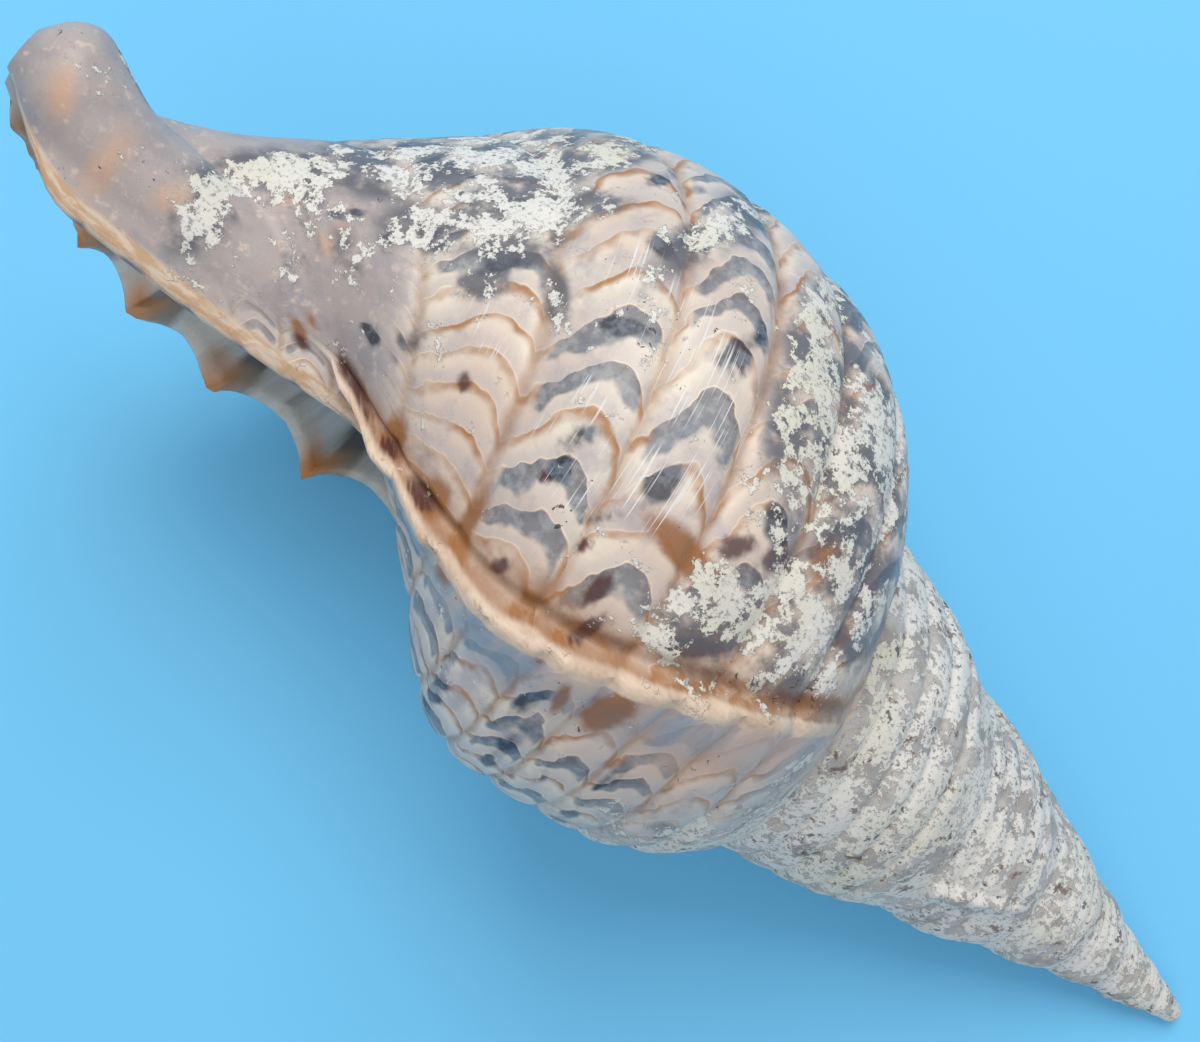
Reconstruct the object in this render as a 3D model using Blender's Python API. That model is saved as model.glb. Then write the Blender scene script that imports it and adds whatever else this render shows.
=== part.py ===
# Triton shell, a large sea snail's shell lying on its side, in metres with +Z up.
# The whole shell is one solid: a whorl profile carried along a spiral that grows by a
# constant factor each turn. The spiral's age is counted in turns, 0 at the outer lip and
# negative towards the apex. A "station" is a place along the profile of a whorl: 0 at its
# upper seam, 1 where the next whorl's seam would lie, and more on the base.
import math

import bpy
import numpy as np
from mathutils import Vector

# Growth of the spiral
growthPerTurn = 1.455        # each whorl is this much larger than the one before
seamHeight = 0.190           # the last seam at the lip, measured along the axis from the apex
seamRadius = 0.049
apexTurns = 5                # whole turns built, before the plain worn tip
apexHeight = 0.005           # the worn tip's end, along the axis
bluntHeight = 0.0078         # the worn tip is rounded off from here
bluntRadius = 0.0030
bluntRaise = 0.0016          # the rounded end's middle lies this far above the axis
apexPlain = 0.3              # turns over which the relief starts after the tip
canalEnd = 0.352             # the canal's tip, along the axis from the apex
lipAngle = math.radians(-153)    # the outer lip's place round the axis, 0 facing up

# Profile of the last whorl: station and radius at the lip
whorlProfile = ((0.00, 0.049), (0.12, 0.064), (0.33, 0.0775), (0.60, 0.082), (0.90, 0.081),
                (1.18, 0.071), (1.46, 0.045), (1.74, 0.021), (1.95, 0.006))
spireBulge = 0.0052          # how far a spire whorl swells between its seams
swellSkew = 0.8              # under 1, the swell is nearer the upper seam
profileBlend = (-1.0, -0.47)     # turns over which the spire profile becomes the whorl profile

# Spiral ribs
ribPitch = 0.253             # stations from one rib to the next
grooveStation = 0.065        # the first groove between two ribs
ribHeight = 0.0011
ribStations = (0.1, 0.3, 1.5, 1.8)       # the ribs rise over the first two, fade over the last

# Varices: old lips kept as raised flanges, two thirds of a turn apart
varixTurns = (-0.565, -1.25, -1.92, -2.59, -3.26)
varixLean = -0.060           # turns per station
varixHeight = 0.0055
varixBaseGrowth = 0.6        # how much higher a flange stands on the base
varixRise = 0.055            # turns over which a flange rises
varixDrop = 0.009            # turns over which it falls
varixBaseStations = (0.7, 1.4)           # over these it grows to that height
spikeStation = 1.655         # one of the spikes along a flange
spikePitch = 0.23
spikeShare = 0.30            # how far the spikes stand out of a flange's height
varixStations = (-0.1, 0.6, 1.82, 1.95)  # a flange rises over the first two, fades over the last

# Outer lip
lipFlare = 0.022             # how far the lip turns out beside the canal
lipFlareTurns = 0.11
lipFlarePower = 1.5          # over 1, it starts more slowly
lipFlareHeights = (0.275, 0.325)         # it starts and is full at these, along the axis
lipFlareEnd = 0.341          # the flare fades from here to the canal's tip
toothPlaces = (0.190, 0.219, 0.250, 0.282, 0.306, 0.325, 0.338)  # along the axis
toothWidth = 0.0070
toothNarrowing = 0.55        # how much narrower the teeth nearest the tip are
toothNarrowHeights = (0.300, 0.345)
toothReach = 0.020           # turns that a tooth stands forward of the lip
lipBack = -0.022             # turns from the lip's age to its edge between the teeth
toothTurns = 0.06            # the last turns, which the lip's edge draws along
toothEnds = (0.190, 0.210, 0.344, 0.350)     # the edge is straight outside these, along the axis

# Canal and columella
canalRadius = 0.0105
canalRise = 0.08             # nearer the apex than this it is thinner
canalSwell = 0.0015          # its end is this much thicker
canalSwellHeights = (0.320, 0.345)
canalShift = 0.0040          # its centre stands off the axis
canalShiftHeights = (0.250, 0.310)
canalReturn = 1.5            # near its end it swings back by this share of the shift
canalReturnHeights = (0.325, 0.348)
canalDome = 0.012            # the length of its rounded end
canalTip = 0.0004            # how far the middle of that end stands out
canalJoin = 6.0              # the higher, the less the canal and the whorl round off where they meet
ridgeAngle = math.radians(-68)   # the inner lip's raised edge
ridgeHeight = 0.0050
ridgeTurns = 0.035           # half its width
ridgeEnds = (0.330, 0.347)   # it fades here, along the axis

# Aperture
cavityEnd = 0.349            # the hollow's end in the canal, at the lip
cavityReach = 0.336          # its end further back, before the whorl's growth scale
cavityEndTurns = 0.2         # turns over which the one becomes the other
cavityStation = 1.45         # the last station that the wall's rows follow
cavityStationTurns = 0.15    # turns over which it becomes that
wallThickness = 0.0042
canalWall = 0.0032
wallStations = (1.3, 1.7)    # the whorl's wall becomes the canal's over these
cavityGap = 0.0018           # the hollow's least height
steepest = 2.5               # the steepest slope that the wall's setting in follows
coreRadius = 0.0018          # the columella's least radius
slopeStep = 0.001            # the step that slopes are taken over, in metres and in turns

# Attitude as it rests, on the back of the last whorl and the spire
restPitch = math.radians(19.9)
restRoll = math.radians(1.8)

# Mesh fineness
columns = 39                 # columns in one turn
crowding = 0.55              # how strongly they crowd towards the varices
crowdPhase = 0.06            # turns from such a place to the lip
seamRows = 12                # rows from seam to seam
baseRows = 14                # further rows that follow the whorl's stations
canalRows = 11               # rows from there to the canal's tip
canalCrowding = 0.35         # how strongly these crowd towards the tip
cavityColumns = (1, 2, 3, 4, 6, 8, 10, 12, 14, 16, 18, 20, 22, 24, 26, 28, 30, 31)
baseStation = 1.70           # the last station that rows follow
sharpAngle = math.radians(50)    # edges over this are shaded sharp


def smoothStep(value, low, high):
    part = np.clip((value - low) / (high - low), 0.0, 1.0)
    return part * part * (3.0 - 2.0 * part)


def smoothCurve(points, value):
    # A cubic through the points, with the slope at each from its neighbours.
    xs = np.array([point[0] for point in points])
    ys = np.array([point[1] for point in points])
    slopes = np.gradient(ys, xs)
    value = np.clip(value, xs[0], xs[-1])
    index = np.clip(np.searchsorted(xs, value, side="right") - 1, 0, len(xs) - 2)
    width = xs[index + 1] - xs[index]
    part = (value - xs[index]) / width
    rest = 1.0 - part
    return (ys[index] * rest * rest * (1.0 + 2.0 * part)
            + ys[index + 1] * part * part * (3.0 - 2.0 * part)
            + slopes[index] * width * part * rest * rest
            - slopes[index + 1] * width * part * part * rest)


def stationHeight(turn, station):
    scale = growthPerTurn ** turn
    return scale * seamHeight * (1.0 + (growthPerTurn - 1.0) * station)


def heightStation(turn, height):
    scale = growthPerTurn ** turn
    return (height / (scale * seamHeight) - 1.0) / (growthPerTurn - 1.0)


def canalSection(height, angle):
    # A round tube whose centre stands off the axis, with a domed end.
    shift = canalShift * smoothStep(height, *canalShiftHeights)
    shift = shift * (1.0 - canalReturn * smoothStep(height, *canalReturnHeights))
    dome = np.clip((height - (canalEnd - canalDome)) / canalDome, 0.0, 1.0)
    radius = canalRadius + canalSwell * smoothStep(height, *canalSwellHeights)
    radius = radius * np.sqrt(np.clip(1.0 - dome * dome, 0.02, 1.0))
    across = shift * np.cos(angle + math.pi / 2)
    along = shift * np.sin(angle + math.pi / 2)
    return across + np.sqrt(np.clip(radius * radius - along * along, 1e-8, None))


def varixRelief(turn, station, scale):
    # Each flange rises slowly with growth and falls steeply, and its edge has spikes on the base.
    onBase = smoothStep(station, *varixBaseStations)
    spikes = 1.0 - 2.0 * np.abs(np.sin(np.pi * (station - spikeStation) / spikePitch))
    size = varixHeight * scale * (1.0 + onBase * (varixBaseGrowth + spikeShare * spikes))
    size = size * smoothStep(station, *varixStations[:2]) * (1.0 - smoothStep(station, *varixStations[2:]))
    relief = 0.0
    for place in varixTurns:
        ridge = place + varixLean * station
        before = smoothStep(turn, ridge - varixRise, ridge) ** 2
        after = 1.0 - smoothStep(turn, ridge, ridge + varixDrop)
        relief = relief + size * np.where(turn <= ridge, before, after)
    return relief


def lipRelief(turn, height):
    # The last stretch turns out beside the canal.
    flare = smoothStep(turn, -lipFlareTurns, 0.0) ** lipFlarePower
    reach = lipFlare * smoothStep(height, *lipFlareHeights)
    return flare * reach * (1.0 - smoothStep(height, lipFlareEnd, canalEnd))


def lipForward(turn, height):
    # Turns that the lip's edge stands forward: back between the teeth and out in a point at each.
    teeth = 0.0
    for place in toothPlaces:
        width = toothWidth * (1.0 - toothNarrowing * smoothStep(place, *toothNarrowHeights))
        teeth = np.maximum(teeth, np.exp(-np.abs(height - place) / width))
    ends = smoothStep(height, *toothEnds[:2]) * (1.0 - smoothStep(height, *toothEnds[2:]))
    return smoothStep(turn, -toothTurns, 0.0) * ends * (lipBack + toothReach * teeth)


def outerRadius(turn, height, flanges=1.0):
    # The shell's outer surface at an age and a height along the axis.
    scale = growthPerTurn ** turn
    station = heightStation(turn, height)
    angle = lipAngle + 2.0 * math.pi * turn
    cone = seamRadius * (1.0 + (growthPerTurn - 1.0) * station)
    early = smoothStep(turn, -apexTurns, apexPlain - apexTurns)
    swell = early * spireBulge * np.sin(np.pi * np.clip(station, 0.0, 1.0) ** swellSkew)
    whorl = smoothCurve(whorlProfile, station)
    underside = whorl * growthPerTurn * seamRadius / smoothCurve(whorlProfile, 1.0)
    spire = np.where(station <= 1.0, cone + swell, underside)
    share = smoothStep(turn, profileBlend[0], profileBlend[1])
    onBody = smoothStep(station, *ribStations[:2]) * (1.0 - smoothStep(station, *ribStations[2:]))
    ribs = -ribHeight * onBody * np.cos(2.0 * np.pi * (station - grooveStation) / ribPitch)
    radius = scale * ((1.0 - share) * spire + share * whorl + early * ribs)
    radius = radius + flanges * varixRelief(turn, station, scale) + lipRelief(turn, height)
    ridgeTurn = (ridgeAngle - lipAngle) / (2.0 * math.pi) - 1.0
    ridge = ridgeHeight * np.exp(-((turn - ridgeTurn) / ridgeTurns) ** 2)
    canal = canalSection(height, angle) + ridge * (1.0 - smoothStep(height, *ridgeEnds))
    canal = canal * smoothStep(height, 0.0, canalRise)
    return (radius ** canalJoin + canal ** canalJoin) ** (1.0 / canalJoin)


def rowHeights(turn, rows, lastStation, end):
    # Rows follow the stations down to the last one given and then run on to the end.
    follow = np.minimum(rows, seamRows + baseRows)
    base = 1.0 + (lastStation - 1.0) * (follow - seamRows) / baseRows
    height = stationHeight(turn, np.where(follow <= seamRows, follow / seamRows, base))
    part = np.clip((rows - seamRows - baseRows) / canalRows, 0.0, 1.0)
    part = part * (1.0 + canalCrowding * (1.0 - part))
    return height + (end - height) * part


def toPoint(turn, height, radius):
    # The apex is towards +X. The angle is 0 facing up and grows towards +Y.
    angle = lipAngle + 2.0 * math.pi * (turn + lipForward(turn, height))
    return np.stack([-height + 0.0 * angle, radius * np.sin(angle), radius * np.cos(angle)], axis=-1)


def columnTurns():
    # Columns crowd towards the lip and the varices, a third of a turn apart.
    even = np.arange(-columns * apexTurns, 1) / columns
    crowd = np.sin(6.0 * np.pi * (even - crowdPhase)) + math.sin(6.0 * math.pi * crowdPhase)
    return even - crowding * crowd / (6.0 * np.pi)


def outerPoints(turn, rows):
    height = rowHeights(turn, rows, baseStation, canalEnd)
    return toPoint(turn, height, outerRadius(turn, height))


def hollowEnd(turn):
    # The hollow reaches into the canal at the lip, and ends with the whorl further back.
    far = growthPerTurn ** turn * cavityReach
    return cavityEnd + (far - cavityEnd) * smoothStep(-turn, 0.0, cavityEndTurns)


def innerWall(turn, rows):
    # The outer surface without its flanges, set in by the wall's thickness, square to the profile,
    # and further where the lip turns out, because the surface stands steep to the section there.
    end = hollowEnd(turn)
    lastStation = baseStation + (cavityStation - baseStation) * smoothStep(-turn, 0.0, cavityStationTurns)
    height = rowHeights(turn, rows, lastStation, end)
    radius = outerRadius(turn, height, 0.0)
    lower = outerRadius(turn, height + slopeStep, 0.0)
    upper = outerRadius(turn, height - slopeStep, 0.0)
    slope = np.clip((lower - upper) / (2.0 * slopeStep), -steepest, steepest)
    turning = (radius - outerRadius(turn - slopeStep, height, 0.0)) / (2.0 * math.pi * slopeStep * radius)
    length = np.sqrt(1.0 + slope * slope)
    station = heightStation(turn, height)
    wall = wallThickness + (canalWall - wallThickness) * smoothStep(station, *wallStations)
    wall = wall * np.minimum(np.sqrt(1.0 + (turning / length) ** 2), steepest)
    inside = np.maximum(radius - wall / length, coreRadius + cavityGap)
    return np.minimum(height + wall * slope / length, end), inside


def cavityPoints(turn):
    # One section of the hollow: down the older whorl and the columella, and back up the wall.
    lastRow = seamRows + baseRows + canalRows
    end = hollowEnd(turn)
    rows = np.arange(1, lastRow)
    wallHeight, wallRadius = innerWall(turn, rows)
    coreRows = np.arange(seamRows + 1, lastRow + 1)
    coreHeight = rowHeights(turn - 1.0, coreRows, baseStation, end)
    core = outerRadius(turn - 1.0, coreHeight)
    ceiling = np.interp(coreHeight, wallHeight, wallRadius) - cavityGap
    core = np.maximum(np.minimum(core, ceiling), coreRadius)
    down = toPoint(turn, coreHeight, core)
    up = toPoint(turn, wallHeight, wallRadius)[::-1]
    return np.concatenate([down, up])


def shellMesh():
    lastRow = seamRows + baseRows + canalRows
    turns = columnTurns()
    lastColumn = len(turns) - 1
    lastTurn = lastColumn - columns
    points = []
    number = {}

    def add(point):
        points.append(tuple(float(part) for part in point))
        return len(points) - 1

    for column, turn in enumerate(turns):
        rows = np.arange(lastRow + 1)
        grid = outerPoints(np.full(rows.shape, turn), rows)
        for row in rows:
            if row < seamRows or column > lastTurn or (column == lastTurn and row > seamRows):
                number[column, row] = add(grid[row])
    for column in range(lastTurn + 1):
        number[column, seamRows] = number[column + columns, 0]

    faces = []
    for column in range(lastColumn):
        end = seamRows if column < lastTurn else lastRow
        for row in range(end):
            faces.append((number[column, row], number[column + 1, row],
                          number[column + 1, row + 1], number[column, row + 1]))

    # The worn apex and the canal's end close on a middle point each.
    apex = add((-apexHeight, 0.0, bluntRaise))
    rim = [number[column, 0] for column in range(columns + 1)]
    rim += [number[0, row] for row in range(seamRows - 1, 0, -1)]
    angles = [math.atan2(points[corner][1], points[corner][2]) for corner in rim[:columns]]
    ring = [add((-bluntHeight, bluntRadius * math.sin(angle), bluntRaise + bluntRadius * math.cos(angle)))
            for angle in angles]
    ring += [ring[0]] * (len(rim) - columns)
    for place, corner in enumerate(rim):
        after = (place + 1) % len(rim)
        faces.append((ring[place], ring[after], rim[after], corner))
        if ring[place] != ring[after]:
            faces.append((apex, ring[after], ring[place]))
    faces = [tuple(dict.fromkeys(face)) for face in faces]
    tip = add(toPoint(0.0, canalEnd + canalTip, 0.0))
    rim = [number[column, lastRow] for column in range(lastTurn, lastColumn + 1)]
    for place, corner in enumerate(rim):
        faces.append((tip, corner, rim[(place + 1) % len(rim)]))

    # The hollow starts at the edge of the older whorl and the columella.
    loop = [number[lastTurn, row] for row in range(seamRows + 1, lastRow + 1)]
    loop += [add(point) for point in cavityPoints(0.0)[len(loop):]]
    wall = [number[lastColumn, row] for row in range(lastRow, -1, -1)]
    lipLoop = loop[lastRow - seamRows - 1:] + [loop[0]]
    for place in range(lastRow):
        faces.append((wall[place], wall[place + 1], lipLoop[place + 1], lipLoop[place]))
    for part in cavityColumns:
        nextLoop = [add(point) for point in cavityPoints(turns[lastColumn - part])]
        for place in range(len(loop)):
            after = (place + 1) % len(loop)
            faces.append((loop[place], loop[after], nextLoop[after], nextLoop[place]))
        loop = nextLoop
    return points, faces, loop


def closeLoop(points, faces, loop):
    # The hollow's back is a strip from its inner side to its outer side, stitched by height.
    middle = baseRows + canalRows - 1
    inner = loop[:middle + 1]
    outer = [loop[place] for place in range(len(loop) - 1, middle - 1, -1)]
    one = 0
    two = 0
    while one < len(inner) - 1 or two < len(outer) - 1:
        nextInner = points[inner[min(one + 1, len(inner) - 1)]][0]
        nextOuter = points[outer[min(two + 1, len(outer) - 1)]][0]
        if two == len(outer) - 1 or (one < len(inner) - 1 and nextInner >= nextOuter):
            faces.append((inner[one], inner[one + 1], outer[two]))
            one += 1
        else:
            faces.append((inner[one], outer[two + 1], outer[two]))
            two += 1
    return [face for face in faces if len(set(face)) == len(face)]


def makeShell():
    points, faces, loop = shellMesh()
    faces = closeLoop(points, faces, loop)
    mesh = bpy.data.meshes.new("triton_shell")
    mesh.from_pydata(points, [], faces)
    mesh.shade_smooth()
    mesh.set_sharp_from_angle(angle=sharpAngle)
    return bpy.data.objects.new("triton_shell", mesh)


def restOnTable(shell):
    # Turned to its resting attitude, with the middle of its box over the origin and its foot at 0.
    shell.rotation_euler = (restRoll, restPitch, 0.0)
    turned = [shell.rotation_euler.to_matrix() @ corner.co for corner in shell.data.vertices]
    low = Vector([min(point[axis] for point in turned) for axis in range(3)])
    high = Vector([max(point[axis] for point in turned) for axis in range(3)])
    middle = (low + high) / 2.0
    shell.location = (-middle.x, -middle.y, -low.z)


def makeMaterial():
    material = bpy.data.materials.new("shell")
    material.use_nodes = True
    surface = material.node_tree.nodes["Principled BSDF"]
    surface.inputs["Base Color"].default_value = (0.62, 0.52, 0.45, 1.0)
    surface.inputs["Roughness"].default_value = 0.55
    surface.inputs["Metallic"].default_value = 0.0
    return material


def buildPart():
    for item in list(bpy.data.objects):
        bpy.data.objects.remove(item, do_unlink=True)
    collection = bpy.data.collections.new("triton_shell")
    bpy.context.scene.collection.children.link(collection)
    shell = makeShell()
    shell.data.materials.append(makeMaterial())
    collection.objects.link(shell)
    restOnTable(shell)


buildPart()
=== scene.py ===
# Triton shell lying on a plain floor: the worn shell with its ribs, old lips, aperture and canal.
# The surface is followed by its age in turns (0 at the lip, negative towards the apex) and by its
# station on the whorl (0 at the upper seam, 1 where the next seam lies, more on the base).
import math

import bpy
import numpy as np
from mathutils import Matrix, Vector


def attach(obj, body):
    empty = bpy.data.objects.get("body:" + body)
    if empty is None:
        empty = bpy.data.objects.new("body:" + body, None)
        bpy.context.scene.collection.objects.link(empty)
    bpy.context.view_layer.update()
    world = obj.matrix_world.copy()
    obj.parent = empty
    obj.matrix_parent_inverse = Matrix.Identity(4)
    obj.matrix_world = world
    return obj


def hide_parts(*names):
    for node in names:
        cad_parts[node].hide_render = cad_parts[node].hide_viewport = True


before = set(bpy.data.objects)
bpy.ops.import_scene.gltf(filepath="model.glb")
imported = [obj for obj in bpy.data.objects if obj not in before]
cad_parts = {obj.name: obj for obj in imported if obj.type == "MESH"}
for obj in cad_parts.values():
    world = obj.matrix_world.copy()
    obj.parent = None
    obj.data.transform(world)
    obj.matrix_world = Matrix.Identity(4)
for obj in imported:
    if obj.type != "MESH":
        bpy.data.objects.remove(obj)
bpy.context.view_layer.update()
print("frame loaded")

# The shell's form in metres, the same values as its solid

form = {
    "growth": 1.455,             # each whorl is this much larger than the one before
    "seamHeight": 0.190,
    "seamRadius": 0.049,
    "apexHeight": 0.005,
    "bluntFrom": 0.029,          # nearer the apex than this the tip is wider and raised a little
    "bluntFull": 0.0078,
    "bluntWider": 0.0012,
    "bluntRaise": 0.0016,
    "bluntHeights": (0.0053, 0.0061, 0.0072),
    "bluntRadii": (0.0012, 0.0023, 0.0030),
    "lipAngle": math.radians(-153),
    "whorl": ((0.00, 0.049), (0.12, 0.064), (0.33, 0.0775), (0.60, 0.082), (0.90, 0.081),
              (1.18, 0.071), (1.46, 0.045), (1.74, 0.021), (1.95, 0.006)),
    "spireBulge": 0.0052,
    "spireBulgePower": 0.8,
    "profileBlend": (-1.0, -0.47),
    "ribPitchOld": 0.18,         # before the last old lip
    "ribPlaceOld": 0.84,
    "ribPitchNew": 0.253,        # after it
    "ribPlaceNew": 1.077,
    "ribHeight": 0.0010,
    "ribStart": (0.1, 0.3),      # stations over which the ribs set in, and fade
    "ribEnd": (1.5, 1.8),
    "grooveWidth": 0.020,
    "grooveDepth": 1.4,
    "varixTurns": (-0.565, -1.25, -1.92, -2.59, -3.26),
    "varixLean": -0.060,
    "varixHeight": 0.0058,
    "varixStart": (-0.1, 0.6),
    "varixEnd": (1.82, 1.95),
    "varixBase": (0.7, 1.4),
    "varixBaseGrowth": 0.6,
    "varixRise": 0.055,
    "varixDrop": 0.006,
    "furrowDepth": 0.18,
    "furrowPlace": 1.6,          # in drops after the edge
    "furrowWidth": 0.7,
    "spikeStation": 1.655,
    "spikePitch": 0.23,
    "spikeShare": 0.30,
    "lipFlare": 0.022,
    "lipFlareTurns": 0.11,
    "lipFlarePower": 1.5,
    "lipFlareStart": (0.275, 0.325),
    "lipFlareEnd": 0.341,
    "teeth": (0.190, 0.219, 0.250, 0.282, 0.306, 0.325, 0.338, 0.3445),
    "toothWidth": 0.0060,
    "toothNarrower": 0.65,       # the last teeth are narrower and smaller by these shares
    "toothNarrowing": (0.30, 0.345),
    "toothSmaller": 0.5,
    "toothShrinking": (0.32, 0.345),
    "toothReach": 0.020,         # turns that a tooth stands forward of the lip
    "lipBack": -0.022,           # turns from the teeth's full reach back to the lip
    "toothTurns": 0.06,
    "teethStart": (0.19, 0.21),
    "teethEnd": (0.345, 0.350),
    "canalEnd": 0.352,
    "canalTip": 0.0004,
    "canalDome": 0.012,
    "canalRadius": 0.0105,
    "canalRise": 0.08,
    "canalJoin": 6,
    "canalSwell": 0.0015,
    "canalSwelling": (0.32, 0.345),
    "canalShift": 0.0040,
    "canalShifting": (0.25, 0.31),
    "canalReturn": 1.5,          # the shift turns round again by this share
    "canalReturning": (0.325, 0.348),
    "ridgeAngle": math.radians(-68),
    "ridgeHeight": 0.0050,
    "ridgeWidth": 0.035,
    "ridgeEnd": (0.330, 0.347),
    "cavityEnd": 0.349,
    "cavityEndTurns": 0.2,
    "cavityReach": 0.336,
    "cavityStation": 1.45,
    "cavityStationTurns": 0.15,
    "baseStation": 1.70,
    "wall": 0.0042,
    "canalWall": 0.0032,
    "wallChange": (1.3, 1.7),
    "wallSteepest": 2.5,
    "cavityGap": 0.0018,
    "coreRadius": 0.0018,
    "restPitch": math.radians(19.9),
    "restRoll": math.radians(1.8),
}
# the turn at which the inner lip's raised edge stands
ridgeTurn = (form["ridgeAngle"] - form["lipAngle"]) / (2.0 * math.pi) - 1.0

# How fine the surface is
fine = {
    "turns": 8,
    "columns": 300,              # in one turn; every second one is used on the oldest whorls
    "crowding": 0.45,
    "crowdingPhase": 0.06,
    "seamRows": 52,
    "baseRows": 40,
    "canalRows": 28,
    "canalCrowding": 0.35,
    "hollowTurns": 0.79,
    "hollowLoops": 56,
    "hollowCrowding": 1.35,
    "lipRounds": 3,
    "lipStep": 0.004,
    "slopeStep": 0.001,
}


def smoothStep(value, low, high):
    # 3t^2 - 2t^3, with t running from 0 at low to 1 at high
    part = np.clip((value - low) / (high - low), 0.0, 1.0)
    return part * part * (3.0 - 2.0 * part)


def bell(value, middle, width, power=2):
    # exp(-((value - middle) / width)^power)
    return np.exp(-((value - middle) / width) ** power)


def smoothCurve(points, value):
    # a cubic through the points, its slope at each worked out from its neighbours
    xs = np.array([point[0] for point in points])
    ys = np.array([point[1] for point in points])
    slopes = np.gradient(ys, xs)
    value = np.clip(value, xs[0], xs[-1])
    index = np.clip(np.searchsorted(xs, value, side="right") - 1, 0, len(xs) - 2)
    width = xs[index + 1] - xs[index]
    part = (value - xs[index]) / width
    rest = 1.0 - part
    return (ys[index] * rest * rest * (1.0 + 2.0 * part)
            + ys[index + 1] * part * part * (3.0 - 2.0 * part)
            + slopes[index] * width * part * rest * rest
            - slopes[index + 1] * width * part * part * rest)


def latticeNoise(places, size, seed):
    # random values at the corners of cubes of this size, blended smoothly between them, -1 to 1
    table = np.random.default_rng(seed).random((32, 32, 32)) * 2.0 - 1.0
    scaled = np.asarray(places) / size
    cell = np.floor(scaled).astype(int)
    part = scaled - cell
    part = part * part * (3.0 - 2.0 * part)
    total = 0.0
    for dx in (0, 1):
        for dy in (0, 1):
            for dz in (0, 1):
                share = 1.0
                for axis, step in enumerate((dx, dy, dz)):
                    share = share * (part[..., axis] if step else 1.0 - part[..., axis])
                total = total + share * table[(cell[..., 0] + dx) % 32, (cell[..., 1] + dy) % 32,
                                              (cell[..., 2] + dz) % 32]
    return total


def stationHeight(turn, station):
    # growth^turn * seamHeight * (1 + (growth - 1) * station)
    return form["growth"] ** turn * form["seamHeight"] * (1.0 + (form["growth"] - 1.0) * station)


def heightStation(turn, height):
    # the other way round
    return (height / (form["growth"] ** turn * form["seamHeight"]) - 1.0) / (form["growth"] - 1.0)


def canalSection(height, angle):
    # a round tube whose centre stands off the axis, with a domed end
    shift = form["canalShift"] * smoothStep(height, *form["canalShifting"])
    shift = shift * (1.0 - form["canalReturn"] * smoothStep(height, *form["canalReturning"]))
    dome = np.clip((height - form["canalEnd"]) / form["canalDome"] + 1.0, 0.0, 1.0)
    radius = form["canalRadius"] + form["canalSwell"] * smoothStep(height, *form["canalSwelling"])
    radius = radius * np.sqrt(np.clip(1.0 - dome * dome, 0.02, 1.0))
    across = shift * np.cos(angle + math.pi / 2)
    along = shift * np.sin(angle + math.pi / 2)
    return across + np.sqrt(np.clip(radius * radius - along * along, 1e-8, None))


def varixTurn(place, station):
    # the turn of an old lip's edge at each station: place + varixLean * station
    return place + form["varixLean"] * station


def varixRelief(turn, station, scale):
    # each flange rises slowly with growth and falls steeply, its edge has spikes on the base, and
    # a narrow furrow follows it
    spikes = 1.0 - 2.0 * np.abs(np.sin(np.pi * (station - form["spikeStation"]) / form["spikePitch"]))
    larger = smoothStep(station, *form["varixBase"]) * (form["varixBaseGrowth"] + form["spikeShare"] * spikes)
    size = form["varixHeight"] * scale * (1.0 + larger)
    size = size * smoothStep(station, *form["varixStart"]) * (1.0 - smoothStep(station, *form["varixEnd"]))
    relief = 0.0
    for place in form["varixTurns"]:
        ridge = varixTurn(place, station)
        before = smoothStep(turn, ridge - form["varixRise"], ridge) ** 2
        after = 1.0 - smoothStep(turn, ridge, ridge + form["varixDrop"])
        shadedFurrow = bell((turn - ridge) / form["varixDrop"], form["furrowPlace"], form["furrowWidth"])
        relief = relief + size * (np.where(turn <= ridge, before, after) - form["furrowDepth"] * shadedFurrow)
    return relief


def lipRelief(turn, height):
    # the last stretch turns out beside the canal
    flare = smoothStep(turn, -form["lipFlareTurns"], 0.0) ** form["lipFlarePower"]
    reach = form["lipFlare"] * smoothStep(height, *form["lipFlareStart"])
    return flare * reach * (1.0 - smoothStep(height, form["lipFlareEnd"], form["canalEnd"]))


def lipForward(turn, height):
    # turns that the lip's edge stands forward: back between the teeth, and out in a point at each
    teeth = 0.0
    for place in form["teeth"]:
        width = 1.0 - form["toothNarrower"] * smoothStep(place, *form["toothNarrowing"])
        width = width * form["toothWidth"]
        size = 1.0 - form["toothSmaller"] * smoothStep(place, *form["toothShrinking"])
        teeth = np.maximum(teeth, size * np.exp(-np.abs(height - place) / width))
    ends = smoothStep(height, *form["teethStart"]) * (1.0 - smoothStep(height, *form["teethEnd"]))
    near = smoothStep(turn, -form["toothTurns"], 0.0)
    return near * ends * (form["lipBack"] + form["toothReach"] * teeth)


def ribWaves(turn, station):
    # broad flat ribs: 1 on a rib and down to -1 in the narrow groove between two
    newer = turn > varixTurn(form["varixTurns"][0], station)
    pitch = np.where(newer, form["ribPitchNew"], form["ribPitchOld"])
    place = np.where(newer, form["ribPlaceNew"], form["ribPlaceOld"])
    phase = (station - place) / pitch
    away = np.abs(phase - np.round(phase)) * pitch
    crown = 1.0 - (2.0 * (0.5 - away / pitch)) ** 2
    return crown - form["grooveDepth"] * bell(away, 0.0, form["grooveWidth"])


def nearTip(height):
    # 1 at the worn tip, falling evenly to 0 up the spire
    return np.clip((form["bluntFrom"] - height) / (form["bluntFrom"] - form["bluntFull"]), 0.0, 1.0)


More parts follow.
